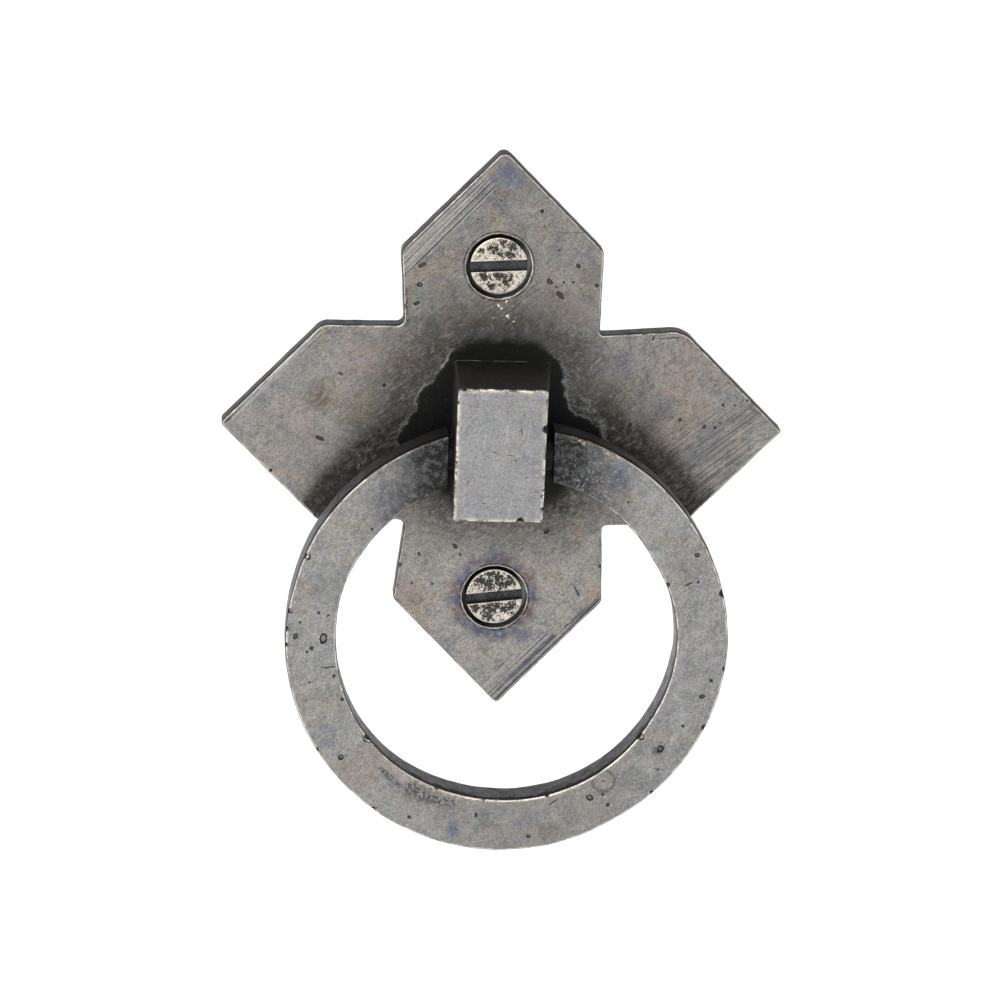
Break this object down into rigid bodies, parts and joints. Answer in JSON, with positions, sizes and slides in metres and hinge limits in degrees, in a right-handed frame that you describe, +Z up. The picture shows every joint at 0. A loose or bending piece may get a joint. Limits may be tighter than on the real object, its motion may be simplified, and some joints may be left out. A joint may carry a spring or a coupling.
{
  "type": "drop pull",
  "caption": "Cabinet drop pull: a flat metal ring that swings in a square-sided post on a cross-shaped back plate with pointed arms, held by slotted wood screws.",
  "frame": {"origin": "middle of the back plate's back face, where the lines between its arm tips cross", "axes": "+Z up, -Y to the front, away from the door, +X to the right of someone who looks at the front"},
  "size_m": [0.076, 0.0417, 0.0959],
  "materials": {
    "plate_bronze": "patinated grey bronze, filed and worn bright at the edges",
    "post_bronze": "patinated grey bronze with a rubbed front and blackened sides",
    "ring_bronze": "patinated grey bronze, worn smooth with small pits",
    "screw_bronze": "pale bronze with black patina in the slot and in spots"
  },
  "bodies": {
    "plate": {"back_plate": "plate_bronze", "post": "post_bronze", "upper_screw": "screw_bronze", "lower_screw": "screw_bronze"},
    "ring": {"drop_ring": "ring_bronze"}
  },
  "joints": [
    {"name": "ring_swing", "type": "hinge", "parent": "plate", "child": "ring", "pos_m": [-0.00042, -0.0102, -0.00185], "axis": [-1, 0, 0], "range_deg": [-7.5, 187.5]}
  ]
}
